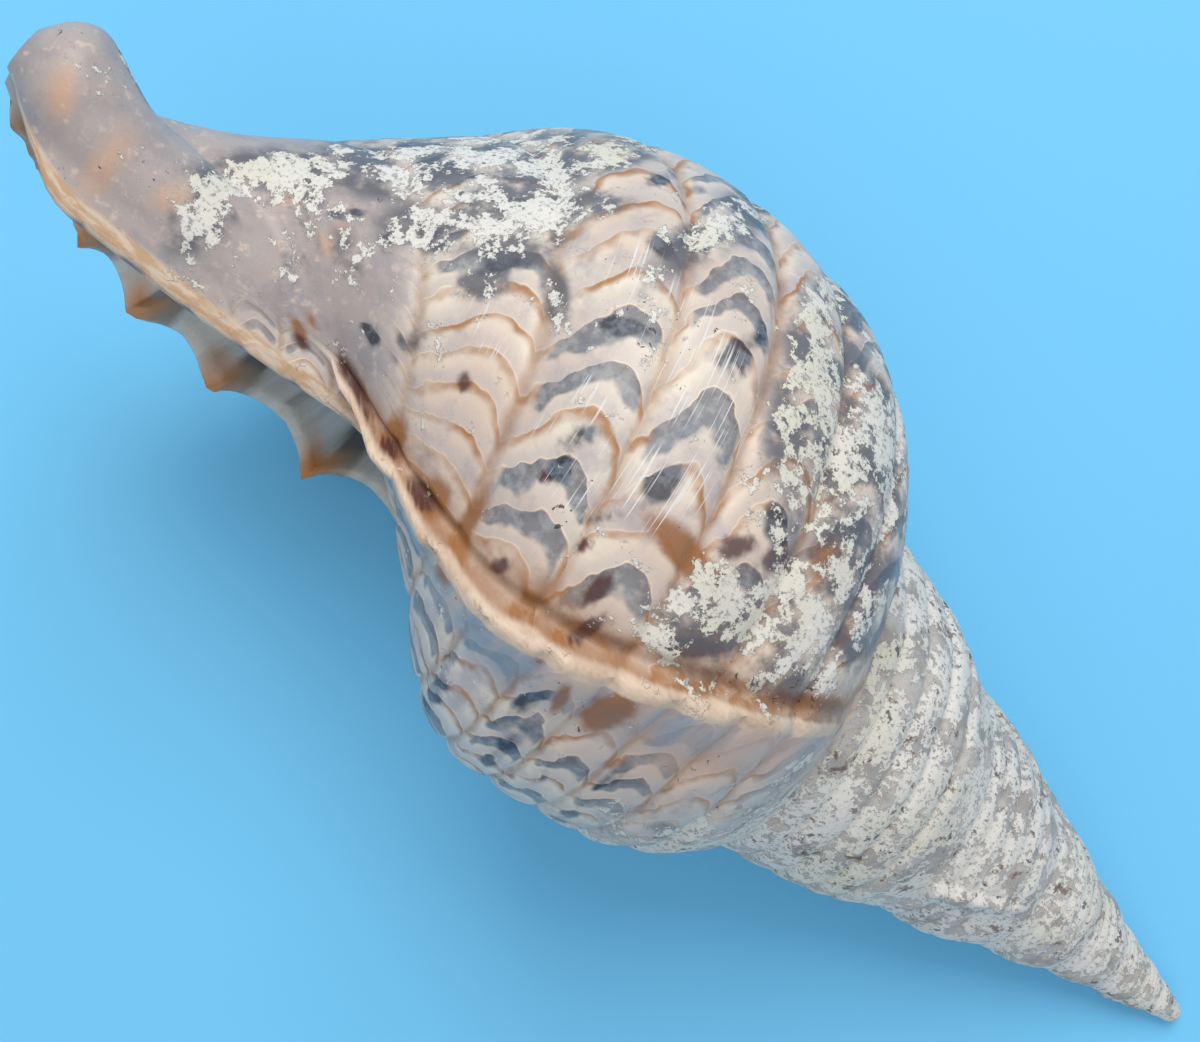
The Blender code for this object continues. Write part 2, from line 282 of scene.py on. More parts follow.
def outerRadius(turn, height, flanges=1.0):
    # cone with a swell on the spire, blending into the last whorl's own profile, then the relief,
    # joined with the canal as (radius^join + canal^join)^(1 / join)
    scale = form["growth"] ** turn
    station = heightStation(turn, height)
    angle = form["lipAngle"] + 2.0 * math.pi * turn
    cone = form["seamRadius"] * (1.0 + (form["growth"] - 1.0) * station)
    swell = np.sin(np.pi * np.clip(station, 0.0, 1.0) ** form["spireBulgePower"])
    whorl = smoothCurve(form["whorl"], station)
    under = whorl * form["growth"] * form["seamRadius"] / smoothCurve(form["whorl"], 1.0)
    spire = np.where(station <= 1.0, cone + form["spireBulge"] * swell, under)
    share = smoothStep(turn, *form["profileBlend"])
    onBody = smoothStep(station, *form["ribStart"]) * (1.0 - smoothStep(station, *form["ribEnd"]))
    ribs = form["ribHeight"] * onBody * ribWaves(turn, station)
    radius = scale * ((1.0 - share) * spire + share * whorl + ribs)
    radius = radius + flanges * varixRelief(turn, station, scale) + lipRelief(turn, height)
    radius = radius + form["bluntWider"] * nearTip(height)
    ridge = form["ridgeHeight"] * bell(turn, ridgeTurn, form["ridgeWidth"])
    canal = canalSection(height, angle) + ridge * (1.0 - smoothStep(height, *form["ridgeEnd"]))
    canal = canal * smoothStep(height, 0.0, form["canalRise"])
    return (radius ** form["canalJoin"] + canal ** form["canalJoin"]) ** (1.0 / form["canalJoin"])


def rowHeights(turn, rows, lastStation, end):
    # rows follow the stations down to the last one given and then run on to the end
    seamRows = fine["seamRows"]
    follow = np.minimum(rows, seamRows + fine["baseRows"])
    base = 1.0 + (lastStation - 1.0) * (follow - seamRows) / fine["baseRows"]
    height = stationHeight(turn, np.where(follow <= seamRows, follow / seamRows, base))
    part = np.clip((rows - seamRows - fine["baseRows"]) / fine["canalRows"], 0.0, 1.0)
    part = part * (1.0 + fine["canalCrowding"] * (1.0 - part))
    return height + (end - height) * part


def toPoint(turn, height, radius):
    # (-height, radius * sin(angle), radius * cos(angle)), with the angle turning with growth,
    # and raised a little near the worn tip
    angle = form["lipAngle"] + 2.0 * math.pi * (turn + lipForward(turn, height))
    up = form["bluntRaise"] * nearTip(height)
    return np.stack([-height + 0.0 * angle, radius * np.sin(angle), up + radius * np.cos(angle)], axis=-1)


def columnTurns():
    # columns crowd towards the lip and the varices, a third of a turn apart
    even = np.arange(-fine["columns"] * fine["turns"], 1) / fine["columns"]
    phase = fine["crowdingPhase"]
    crowd = np.sin(6.0 * np.pi * (even - phase)) + math.sin(6.0 * math.pi * phase)
    return even - fine["crowding"] * crowd / (6.0 * np.pi)


def outerPoints(turn, rows):
    height = rowHeights(turn, rows, form["baseStation"], form["canalEnd"])
    return toPoint(turn, height, outerRadius(turn, height))


def hollowEnd(turn):
    # the hollow reaches into the canal at the lip, and ends with the whorl further back
    far = form["growth"] ** turn * form["cavityReach"]
    return form["cavityEnd"] + (far - form["cavityEnd"]) * smoothStep(-turn, 0.0, form["cavityEndTurns"])


def innerWall(turn, rows):
    # the outer surface without its flanges, set in by the wall's thickness, square to it
    nudge = fine["slopeStep"]
    steepest = form["wallSteepest"]
    end = hollowEnd(turn)
    deeper = smoothStep(-turn, 0.0, form["cavityStationTurns"])
    lastStation = form["baseStation"] + (form["cavityStation"] - form["baseStation"]) * deeper
    height = rowHeights(turn, rows, lastStation, end)
    radius = outerRadius(turn, height, 0.0)
    lower = outerRadius(turn, height + nudge, 0.0)
    upper = outerRadius(turn, height - nudge, 0.0)
    slope = np.clip((lower - upper) / (2.0 * nudge), -steepest, steepest)
    turning = (radius - outerRadius(turn - nudge, height, 0.0)) / (2.0 * math.pi * nudge * radius)
    length = np.sqrt(1.0 + slope * slope)
    station = heightStation(turn, height)
    thinner = smoothStep(station, *form["wallChange"])
    wall = form["wall"] + (form["canalWall"] - form["wall"]) * thinner
    wall = wall * np.minimum(np.sqrt(1.0 + (turning / length) ** 2), steepest)
    inside = np.maximum(radius - wall / length, form["coreRadius"] + form["cavityGap"])
    return np.minimum(height + wall * slope / length, end), inside


def hollowSection(turn):
    # down the older whorl and the columella, and back up the wall
    lastRow = fine["seamRows"] + fine["baseRows"] + fine["canalRows"]
    end = hollowEnd(turn)
    wallHeight, wallRadius = innerWall(turn, np.arange(1, lastRow))
    coreRows = np.arange(fine["seamRows"] + 1, lastRow + 1)
    coreHeight = rowHeights(turn - 1.0, coreRows, form["baseStation"], end)
    core = outerRadius(turn - 1.0, coreHeight)
    ceiling = np.interp(coreHeight, wallHeight, wallRadius) - form["cavityGap"]
    core = np.maximum(np.minimum(core, ceiling), form["coreRadius"])
    places = np.concatenate([toPoint(turn, coreHeight, core),
                             toPoint(turn, wallHeight, wallRadius)[::-1]])
    stations = np.concatenate([heightStation(turn - 1.0, coreHeight),
                               heightStation(turn, wallHeight)[::-1]])
    ages = np.concatenate([np.full(len(coreRows), turn - 1.0), np.full(lastRow - 1, turn)])
    return places, ages, stations


def shellSurface():
    # the outer surface on a grid of columns (turns) and rows (stations), closed by the lip,
    # the hollow, the apex and the canal's tip. Each whorl's last seam row is the next one's first.
    perTurn = fine["columns"]
    seamRows = fine["seamRows"]
    lastRow = seamRows + fine["baseRows"] + fine["canalRows"]
    turns = columnTurns()
    lastColumn = len(turns) - 1
    lastTurn = lastColumn - perTurn
    fineFrom = lastColumn - 2 * perTurn
    own = np.zeros((lastColumn + 1, lastRow + 1), bool)
    own[:fineFrom:2, 0:seamRows:2] = True
    own[fineFrom:, :seamRows] = True
    own[lastTurn + 1:, :] = True
    own[lastTurn, seamRows + 1:] = True
    number = np.full(own.shape, -1)
    number[own] = np.arange(own.sum())
    number[:lastTurn + 1, seamRows] = number[perTurn:perTurn + lastTurn + 1, 0]
    column, row = np.nonzero(own)
    places = [outerPoints(turns[column], row)]
    ages = [turns[column]]
    allRows = np.arange(lastRow + 1)
    rowStation = heightStation(turns[:, None], rowHeights(turns[:, None], allRows[None, :],
                                                          form["baseStation"], form["canalEnd"]))
    stations = [rowStation[column, row]]
    inside = [np.zeros(len(column))]
    corners = []
    cornerAges = []
    cornerStations = []
    kinds = []
    count = [len(column)]

    def addPoints(newPlaces, newAges, newStations, newInside):
        places.append(newPlaces)
        ages.append(newAges)
        stations.append(newStations)
        inside.append(np.full(len(newPlaces), newInside))
        first = count[0]
        count[0] += len(newPlaces)
        return np.arange(first, count[0])

    def addFaces(ids, age, station, kind):
        # a face has up to six corners, and -1 marks a corner that it doesn't have
        pad = 6 - ids.shape[1]
        corners.append(np.pad(ids, ((0, 0), (0, pad)), constant_values=-1))
        cornerAges.append(np.pad(age, ((0, 0), (0, pad))))
        cornerStations.append(np.pad(station, ((0, 0), (0, pad))))
        kinds.append(np.full(len(ids), kind))

    def gridFaces(columns, rows):
        cs, rs = [part.ravel() for part in np.meshgrid(columns, rows, indexing="ij")]
        c4 = np.stack([cs, cs + 1, cs + 1, cs], axis=1)
        r4 = np.stack([rs, rs, rs + 1, rs + 1], axis=1)
        addFaces(number[c4, r4], turns[c4], rowStation[c4, r4], 0)

    gridFaces(np.arange(fineFrom, lastColumn), np.arange(seamRows))
    gridFaces(np.arange(lastTurn, lastColumn), np.arange(seamRows, lastRow))

    # the oldest whorls, with a further corner where a finer face adjoins
    cs, rs = [part.ravel() for part in
              np.meshgrid(np.arange(0, fineFrom, 2), np.arange(0, seamRows, 2), indexing="ij")]
    c6 = np.stack([cs, cs + 2, cs + 2, cs + 2, cs + 1, cs], axis=1)
    r6 = np.stack([rs, rs, rs + 1, rs + 2, rs + 2, rs + 2], axis=1)
    ids = number[c6, r6]
    ids[:, 2] = np.where(cs + 2 == fineFrom, ids[:, 2], -1)
    ids[:, 4] = np.where((rs + 2 == seamRows) & (cs + perTurn >= fineFrom), ids[:, 4], -1)
    addFaces(ids, turns[c6], rowStation[c6, r6], 0)

    def fan(middle, rim, age, station):
        ids = np.stack([np.full(len(rim), middle), rim, np.roll(rim, -1)], axis=1)
        addFaces(ids, np.full(ids.shape, age), np.full(ids.shape, station), 0)

    def between(one, other):
        # the four corners at each step round two loops
        return np.stack([one, np.roll(one, -1), np.roll(other, -1), other], axis=1)

    apex = addPoints(toPoint(0.0, form["apexHeight"], 0.0)[None, :], turns[:1], np.zeros(1), 0.0)[0]
    rim = np.concatenate([number[0:perTurn + 1:2, 0], number[0, seamRows - 2:0:-2]])
    perRing = perTurn // 2
    for height, radius in zip(form["bluntHeights"][::-1], form["bluntRadii"][::-1]):
        ringPlaces = toPoint(turns[:perTurn:2], height, radius)
        ring = addPoints(ringPlaces, np.full(perRing, turns[0]), np.zeros(perRing), 0.0)
        ring = np.append(ring, np.full(len(rim) - perRing, ring[0]))
        ids = between(ring, rim)[rim != np.roll(rim, -1)]
        ids[:, 1] = np.where(ids[:, 0] == ids[:, 1], -1, ids[:, 1])
        addFaces(ids, np.full(ids.shape, turns[0]), np.zeros(ids.shape), 0)
        rim = ring
    rim = rim[:perRing]
    fan(apex, rim[::-1], turns[0], 0.0)

    # the lip: a rounded edge between the outer surface and the hollow's wall
    sectionPlaces, sectionAges, sectionStations = hollowSection(0.0)
    coreCount = lastRow - seamRows
    loop = np.concatenate([number[lastTurn, seamRows + 1:],
                           addPoints(sectionPlaces[coreCount:], sectionAges[coreCount:],
                                     sectionStations[coreCount:], 1.0)])
    outerEdge = number[lastColumn, ::-1]
    innerEdge = np.concatenate([loop[coreCount - 1:], loop[:1]])
    known = np.concatenate(places)
    bulge = 0.5 * np.linalg.norm(known[outerEdge] - known[innerEdge], axis=1)
    onward = outerPoints(np.zeros(lastRow + 1), allRows)
    onward = onward - outerPoints(np.full(lastRow + 1, -fine["lipStep"]), allRows)
    onward = (onward / np.linalg.norm(onward, axis=1)[:, None])[::-1]
    strips = [outerEdge]
    for step in range(1, fine["lipRounds"] + 1):
        share = step / (fine["lipRounds"] + 1)
        middle = known[outerEdge] * (1.0 - share) + known[innerEdge] * share
        middle = middle + onward * (bulge * math.sin(math.pi * share))[:, None]
        ids = addPoints(middle[:-1], np.zeros(lastRow), rowStation[lastColumn, :0:-1], share)
        strips.append(np.append(ids, outerEdge[-1]))
    strips.append(innerEdge)
    edgeStation = rowStation[lastColumn, ::-1]
    for before, after in zip(strips[:-1], strips[1:]):
        ids = np.stack([before[:-1], before[1:], after[1:], after[:-1]], axis=1)
        ids[:, 1] = np.where(ids[:, 1] == ids[:, 2], -1, ids[:, 1])
        along = np.stack([edgeStation[:-1], edgeStation[1:], edgeStation[1:], edgeStation[:-1]], axis=1)
        addFaces(ids, np.zeros(ids.shape), along, 1)

    tip = addPoints(toPoint(0.0, form["canalEnd"] + form["canalTip"], 0.0)[None, :], np.zeros(1),
                    rowStation[-1:, -1], 0.0)[0]
    rim = np.concatenate([number[lastTurn:, lastRow], [strip[0] for strip in strips[1:-1]]]).astype(int)
    fan(tip, rim, 0.0, rowStation[-1, -1])

    # the hollow, section by section back from the lip
    reach = np.linspace(0.0, 1.0, fine["hollowLoops"] + 1)[1:]
    reach = reach ** fine["hollowCrowding"] * fine["hollowTurns"]
    oldAges, oldStations = sectionAges, sectionStations
    for back in reach:
        newPlaces, newAges, newStations = hollowSection(-back)
        newLoop = addPoints(newPlaces, newAges, newStations, 1.0)
        addFaces(between(loop, newLoop), between(oldAges, newAges), between(oldStations, newStations), 1)
        loop, oldAges, oldStations = newLoop, newAges, newStations

    # its back: a strip between its inner and its outer side, stitched in order of height
    inner = loop[:coreCount]
    outer = np.concatenate([loop[:1], loop[:coreCount - 1:-1]])
    known = np.concatenate(places)
    ends = np.concatenate([-known[inner[1:], 0], -known[outer[1:], 0]])
    order = np.argsort(ends, kind="stable")
    onInner = order < len(inner) - 1
    one = np.cumsum(onInner) - onInner
    two = np.cumsum(~onInner) - ~onInner
    nextOne = np.minimum(one + 1, len(inner) - 1)
    nextTwo = np.minimum(two + 1, len(outer) - 1)
    ids = np.stack([inner[one], np.where(onInner, inner[nextOne], outer[nextTwo]), outer[two]], axis=1)
    ids = ids[ids[:, 0] != ids[:, 2]]
    addFaces(ids, np.full(ids.shape, -fine["hollowTurns"]), np.zeros(ids.shape), 1)

    parts = {"places": places, "ages": ages, "stations": stations, "inside": inside, "corners": corners,
             "cornerAges": cornerAges, "cornerStations": cornerStations, "kinds": kinds}
    return {name: np.concatenate(part) for name, part in parts.items()}


def toMesh(name, surface):
    # one mesh from the corner table, with a UV map that holds turn and station
    has = surface["corners"] >= 0
    counts = has.sum(axis=1)
    starts = np.concatenate([[0], np.cumsum(counts)[:-1]])
    mesh = bpy.data.meshes.new(name)
    mesh.vertices.add(len(surface["places"]))
    mesh.vertices.foreach_set("co", surface["places"].astype(np.float32).ravel())
    mesh.loops.add(int(counts.sum()))
    mesh.loops.foreach_set("vertex_index", surface["corners"][has].astype(np.int32))
    mesh.polygons.add(len(counts))
    mesh.polygons.foreach_set("loop_start", starts.astype(np.int32))
    mesh.polygons.foreach_set("material_index", surface["kinds"].astype(np.int32))
    mesh.polygons.foreach_set("use_smooth", np.ones(len(counts), bool))
    layer = mesh.uv_layers.new(name="spiral")
    flat = np.stack([surface["cornerAges"][has], surface["cornerStations"][has]], axis=1)
    layer.data.foreach_set("uv", flat.astype(np.float32).ravel())
    mesh.update(calc_edges=True)
    mesh.validate()
    return mesh


def addObject(name, data):
    item = bpy.data.objects.new(name, data)
    bpy.context.scene.collection.objects.link(item)
    return item


def placement():
    # turned to the resting attitude, and moved so that the apex is where the solid has it
    pitch = Matrix.Rotation(form["restPitch"], 3, "Y")
    turned = np.array(pitch @ Matrix.Rotation(form["restRoll"], 3, "X"))
    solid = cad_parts["triton_shell"].data.vertices
    points = np.empty(len(solid) * 3)
    solid.foreach_get("co", points)
    points = points.reshape(-1, 3)
    apex = points[points[:, 0].argmax()]
    return turned, apex - turned @ np.array([-form["apexHeight"], 0.0, form["bluntRaise"]])


# Where each finish lies, as values on the surface

view = {
    "turn": math.radians(140.0),
    "tilt": math.radians(18.5),
    "distance": 0.400,
    "lens": 46.95,
    "sensor": 36.0,
    "nearest": 0.01,
    "apexRight": 0.1493,         # the apex in the camera's frame
    "apexUp": -0.1281,
    "wide": 1200.0,              # the picture's size, for the marks below
    "high": 1042.0,
}

# Single marks that the shell has: place in the picture, half length, half width, lean in degrees
marks = {
    "slate": (
        (370, 332, 15, 10, 80), (412, 346, 20, 15, 70), (440, 240, 26, 12, 20), (395, 240, 16, 9, 20),
        (625, 327, 26, 9, -10), (672, 240, 26, 13, 30), (742, 350, 34, 14, 45), (738, 375, 16, 8, 50),
        (662, 484, 26, 18, 60), (558, 474, 20, 12, 70), (575, 440, 22, 10, 20), (781, 522, 24, 19, 80),
        (505, 268, 24, 10, 10), (590, 520, 24, 7, 10), (452, 652, 18, 7, 65), (436, 690, 20, 9, 65),
        (505, 748, 28, 9, 35), (545, 773, 8, 5, 40), (603, 782, 26, 5, 25), (560, 818, 26, 7, 25),
        (655, 830, 20, 5, 5), (525, 705, 30, 9, 30), (765, 862, 24, 8, 25), (395, 575, 18, 5, 70),
        (410, 150, 22, 7, 0), (470, 172, 18, 6, 0), (345, 215, 18, 6, 10), (660, 180, 30, 6, 20),
    ),
    "maroon": (
        (465, 382, 12, 8, 80), (600, 588, 24, 9, 40), (588, 628, 24, 7, 35), (585, 545, 12, 7, 20),
        (500, 566, 10, 8, 40), (738, 547, 22, 11, 20), (690, 648, 34, 9, -4), (1003, 928, 8, 5, 0),
        (1035, 945, 7, 5, 0), (545, 478, 8, 9, 60), (775, 560, 16, 11, 40),
        (354, 385, 45, 9, -67), (296, 346, 13, 7, 50), (388, 448, 14, 12, -50), (418, 492, 20, 10, -50),
    ),
    "stain": (
        (606, 712, 34, 17, 25), (432, 500, 26, 16, 60), (455, 560, 24, 14, 60), (520, 610, 28, 12, 45),
        (392, 440, 34, 14, 70), (560, 640, 30, 12, 40), (690, 690, 70, 9, 8), (790, 702, 60, 8, 0),
        (852, 768, 15, 9, 45), (825, 560, 26, 18, 60), (470, 520, 30, 10, 60), (300, 330, 22, 10, 50),
        (690, 560, 60, 18, -50), (560, 700, 20, 8, 60), (140, 300, 6, 6, 0),
    ),
    "amber": (
        (104, 166, 44, 16, 55), (62, 92, 30, 16, 80), (172, 198, 26, 14, 20), (290, 200, 16, 10, 0),
        (700, 760, 60, 18, 5), (650, 735, 30, 12, 10), (330, 240, 20, 10, 60),
    ),
    "chalk": (
        (250, 180, 60, 26, 10), (205, 215, 44, 22, 40), (300, 235, 46, 12, 75), (400, 170, 80, 28, -5),
        (500, 160, 90, 28, 0), (445, 225, 60, 22, 0), (560, 210, 60, 16, 10), (620, 150, 90, 16, 18),
        (740, 215, 90, 20, 35), (830, 300, 60, 22, 50), (815, 400, 90, 40, 75), (870, 480, 120, 44, 80),
        (800, 620, 90, 60, 20), (720, 610, 60, 30, 20), (850, 560, 70, 30, 60), (520, 245, 40, 18, 10),
        (480, 285, 30, 12, 10), (555, 295, 12, 26, 10), (320, 170, 60, 16, 0), (690, 600, 40, 18, 0),
        (345, 260, 12, 26, 0), (500, 200, 60, 18, 0), (790, 840, 60, 20, 25), (880, 250, 40, 16, 60),
    ),
    "scratch": (
        (660, 300, 60, 40, -50), (700, 380, 70, 40, -55), (570, 470, 50, 26, -60), (640, 480, 50, 30, -60),
        (480, 320, 40, 16, -60), (590, 400, 30, 14, -60), (690, 480, 30, 20, -60),
    ),
}


# Where each mask starts and is full: in turns, stations, heights in metres, or a noise's own values
zones = {
    "markFall": 0.7,
    "markPower": 1.3,
    "facing": (0.02, 0.25),
    "unseen": (-0.1, 0.2),
    "callusTurns": (-0.008, 0.004),      # before the inner lip's edge
    "callusOldest": -1.001,
    "callusHeights": (0.228, 0.242),
    "spire": (0.80, 1.02),
    "spireLean": 0.30,
    "spireWander": 0.10,
    "spireEnd": 0.25,
    "chalkUnseen": (0.15, 0.6),
    "slateUnseen": (0.45, 0.7),
    "slateShare": 0.9,
    "stainUnseen": (0.5, 0.9),
    "stainShare": 0.6,
    "plainStations": (1.50, 1.72),
    "plainTurns": (-0.75, -0.62),
    "plainHeights": (0.285, 0.305),
    "edgeStart": (0.02, 0.12),
    "edgeEnd": (1.86, 1.93),
    "edgeWidths": (0.0050, 0.008),       # the newest old lip's, and the others'
    "edgeBack": 0.35,
    # where the painted shade lies in the furrow behind each old lip: place after the edge and width, in turns
    "shadedFurrow": (0.011, 0.0055),
    "besideTurns": 0.05,                 # over which the finish before and after the last old lip fades
    "band": (0.010, 0.024),              # place after the inner lip's edge and width, in turns
    "bandStart": (0.225, 0.25),
    "bandEnd": 0.352,
    "dash": (-0.006, 0.016),
    "dashPitch": 0.0125,
    "dashWaves": (0.0, 0.7),
    "dashStart": 0.24,
    "dashEnd": 0.343,
    "lipTurns": (-0.018, -0.003),
    "lipEnd": 0.351,
    "toothWidth": 0.0042,
    "barBefore": 0.005,                  # above its tooth
    "barWidth": 0.0034,
    "barTurns": (-0.22, -0.05),
}

# Heights of the fine relief in metres
reliefHeights = {
    "chalk": 0.00022,
    "worn": 0.00045,
    "growthLines": 0.00010,
    "lumps": 0.00012,
    "edge": 0.00008,
}


def cameraBasis():
    # the shell's axis, its side and the way to the camera, as the camera sees them
    axis = np.array([math.cos(view["turn"]) * math.cos(view["tilt"]),
                     math.sin(view["turn"]) * math.cos(view["tilt"]), math.sin(view["tilt"])])
    side = np.array([math.sin(view["turn"]), -math.cos(view["turn"]), 0.0])
    return np.stack([-axis, side, np.cross(side, axis)], axis=1)


def seenPlaces(places):
    # a point in the picture: lens / sensor * width * offset / depth, from the picture's middle
    seen = places @ cameraBasis().T + np.array([view["apexRight"], view["apexUp"], 0.0])
    reach = view["lens"] / view["sensor"] * view["wide"] / (view["distance"] - seen[:, 2])
    return view["wide"] / 2.0 + seen[:, 0] * reach, view["high"] / 2.0 - seen[:, 1] * reach


def markCover(across, down, facing, group):
    # the highest of exp(-fall * (long^2 + wide^2)^power) over a group's marks, on what faces the camera
    cover = np.zeros(len(across))
    for x, y, length, width, lean in marks[group]:
        angle = math.radians(-lean)
        alongMark = (across - x) * math.cos(angle) + (down - y) * math.sin(angle)
        acrossMark = (down - y) * math.cos(angle) - (across - x) * math.sin(angle)
        away = (alongMark / length) ** 2 + (acrossMark / width) ** 2
        cover = np.maximum(cover, np.exp(-zones["markFall"] * away ** zones["markPower"]))
    return cover * facing


def surfaceValues(surface, local, normals):
    # masks from 0 to 1 for each finish
    turn, station = surface["ages"], surface["stations"]
    hollow = surface["inside"]
    skin = np.clip(1.0 - 1.5 * hollow, 0.0, 1.0)
    height = -local[:, 0]
    across, down = seenPlaces(local)
    towards = normals @ cameraBasis()[2]
    facing = smoothStep(towards, *zones["facing"]) * skin
    # the inner lip's face towards the aperture is smooth
    callus = smoothStep(ridgeTurn - turn, *zones["callusTurns"]) * (turn > zones["callusOldest"])
    callus = callus * smoothStep(height, *zones["callusHeights"])
    unseen = (1.0 - smoothStep(towards, *zones["unseen"])) * skin * (1.0 - callus)
    broad = latticeNoise(local, 0.055, 3)
    middle = latticeNoise(local, 0.022, 4)
    values = {kind: markCover(across, down, facing, kind) for kind in marks}
    leaning = zones["spireLean"] * (1.0 - np.clip(station, 0.0, 1.0)) + zones["spireWander"] * broad
    values["worn"] = smoothStep(leaning - turn, *zones["spire"]) * (height < zones["spireEnd"]) * skin
    pale = unseen * smoothStep(broad + 0.5 * middle, *zones["chalkUnseen"])
    values["chalk"] = np.clip(np.maximum(values["chalk"], pale), 0.0, 1.0)
    dark = unseen * smoothStep(middle, *zones["slateUnseen"])
    values["slate"] = np.maximum(values["slate"], zones["slateShare"] * dark)
    brown = unseen * smoothStep(latticeNoise(local, 0.03, 7), *zones["stainUnseen"])
    values["stain"] = np.maximum(values["stain"], zones["stainShare"] * brown)
    plain = smoothStep(station + 0.06 * middle, *zones["plainStations"])
    plain = plain * smoothStep(turn, *zones["plainTurns"])
    values["plain"] = skin * np.maximum(plain, smoothStep(height + 0.006 * middle, *zones["plainHeights"]))

    # the free edges of the old lips, and the painted shade in the furrow behind each
    edge = 0.0
    shadedFurrow = 0.0
    for number, place in enumerate(form["varixTurns"]):
        since = turn - varixTurn(place, station)
        width = zones["edgeWidths"][min(number, 1)]
        edge = np.maximum(edge, bell(since, -zones["edgeBack"] * width, width, 4))
        shadedFurrow = np.maximum(shadedFurrow, bell(since, *zones["shadedFurrow"]))
    ends = smoothStep(station, *zones["edgeStart"]) * (1.0 - smoothStep(station, *zones["edgeEnd"]))
    values["edge"] = edge * ends * skin * (1.0 - 0.8 * values["worn"])
    values["shadedFurrow"] = shadedFurrow * ends * skin * (1.0 - values["worn"])
    since = turn - varixTurn(form["varixTurns"][0], station)
    beside = skin * ends * np.exp(-np.clip(np.abs(since) / zones["besideTurns"], 0.0, 9.0))
    values["approach"] = beside * (since < 0.0)
    values["rimStain"] = beside * (since >= 0.0)

    # the inner lip's raised band along the columella, with dashes, and the lip's teeth and bars
    past = turn - ridgeTurn
    band = bell(past, *zones["band"]) * smoothStep(height, *zones["bandStart"])
    values["band"] = np.maximum(band * (height < zones["bandEnd"]), callus * skin)
    waves = np.sin(2.0 * math.pi * height / zones["dashPitch"] + 2.0 * broad)
    dashes = smoothStep(waves, *zones["dashWaves"]) * bell(past, *zones["dash"])
    values["dash"] = dashes * (height > zones["dashStart"]) * (height < zones["dashEnd"])
    values["lip"] = smoothStep(turn, *zones["lipTurns"]) * (height < zones["lipEnd"])
    teeth = sum(bell(height, place, zones["toothWidth"]) for place in form["teeth"])
    values["tooth"] = values["lip"] * np.clip(teeth, 0.0, 1.0)
    bars = sum(bell(height, place - zones["barBefore"], zones["barWidth"]) for place in form["teeth"])
    values["bar"] = np.clip(bars, 0.0, 1.0) * smoothStep(turn, *zones["barTurns"]) * (hollow > 0.4)
    return values


def twoNoises(places, size, smaller, share, seed):
    # noise of one size and a share of a finer one
    return latticeNoise(places, size, seed) + share * latticeNoise(places, smaller, seed + 1)


def displace(surface, local, normals, values):
    # chalk stands proud in flakes, the worn spire is pitted and lumpy, the rest has faint growth lines
    skin = np.clip(1.0 - 2.0 * surface["inside"], 0.0, 1.0)
    flakes = twoNoises(local, 0.0055, 0.0028, 0.6, 11)
    lumps = twoNoises(local, 0.012, 0.006, 0.5, 13)
    lines = np.stack([surface["ages"] * 90.0 + 1.5 * latticeNoise(local, 0.03, 15),
                      surface["stations"] * 3.0, surface["stations"] * 0.0], axis=1)
    growthLines = latticeNoise(lines, 1.0, 16) * (1.0 - values["worn"]) * (1.0 - values["plain"])
    ragged = twoNoises(local, 0.008, 0.004, 0.5, 17)
    shift = (reliefHeights["chalk"] * values["chalk"] * flakes
             + (reliefHeights["worn"] * values["worn"] + reliefHeights["lumps"]) * lumps
             + reliefHeights["growthLines"] * growthLines
             + reliefHeights["edge"] * values["edge"] * ragged)
    return normals * (shift * skin)[:, None]


surface = shellSurface()
turned, moved = placement()
local = surface["places"].copy()
mesh = toMesh("shell", surface)
normals = np.empty(len(mesh.vertices) * 3, np.float32)
mesh.vertex_normals.foreach_get("vector", normals)
normals = normals.reshape(-1, 3)
values = surfaceValues(surface, local, normals)
finished = (local + displace(surface, local, normals, values)) @ turned.T + moved
mesh.vertices.foreach_set("co", finished.astype(np.float32).ravel())
for name, value in values.items():
    layer = mesh.attributes.new(name, "FLOAT", "POINT")
    layer.data.foreach_set("value", np.asarray(value, np.float32))
mesh.update()
shell = addObject("shell", mesh)
print("surface made:", len(mesh.vertices), "vertices")

# Finishes


def tone(red, green, blue):
    # a colour as it looks on a screen, 0 to 255, as the linear values that a shader takes
    parts = [part / 255.0 for part in (red, green, blue)]
    linear = [part / 12.92 if part <= 0.04045 else ((part + 0.055) / 1.055) ** 2.4 for part in parts]
    return (*linear, 1.0)


